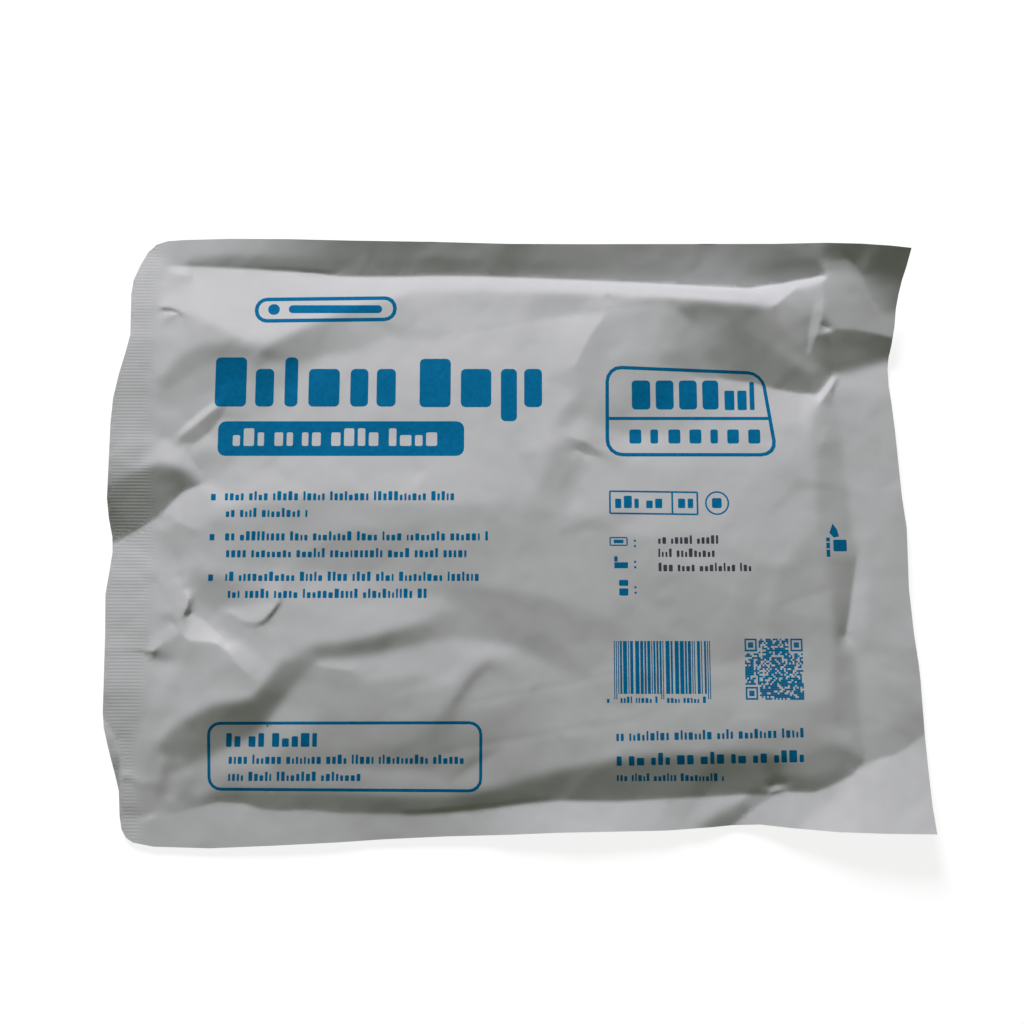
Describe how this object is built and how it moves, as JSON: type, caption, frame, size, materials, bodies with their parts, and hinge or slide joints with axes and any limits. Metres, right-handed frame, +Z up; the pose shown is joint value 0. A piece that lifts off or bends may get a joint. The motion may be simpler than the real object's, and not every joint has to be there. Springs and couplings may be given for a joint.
{
  "type": "sealed paper pouch of a packed urine drainage bag",
  "caption": "Flat rectangular paper sterile pouch with sealed edges, swollen and creased over a folded urine drainage bag inside.",
  "frame": {"origin": "centre of the bounding box, on the table under the pouch's flat back", "axes": "+X across the pouch's long side, from the narrow left seal to the wide right seal; +Y up the printed face, towards the raised top seal; +Z up, out of the printed front"},
  "size_m": [0.2694, 0.2042, 0.0212],
  "materials": {
    "pouch_paper": "matte white medical paper",
    "blue_print": "matte blue ink on the paper",
    "grey_print": "matte dark grey ink on the paper"
  },
  "bodies": {
    "root": {"sealed_pouch": "pouch_paper"}
  },
  "joints": []
}
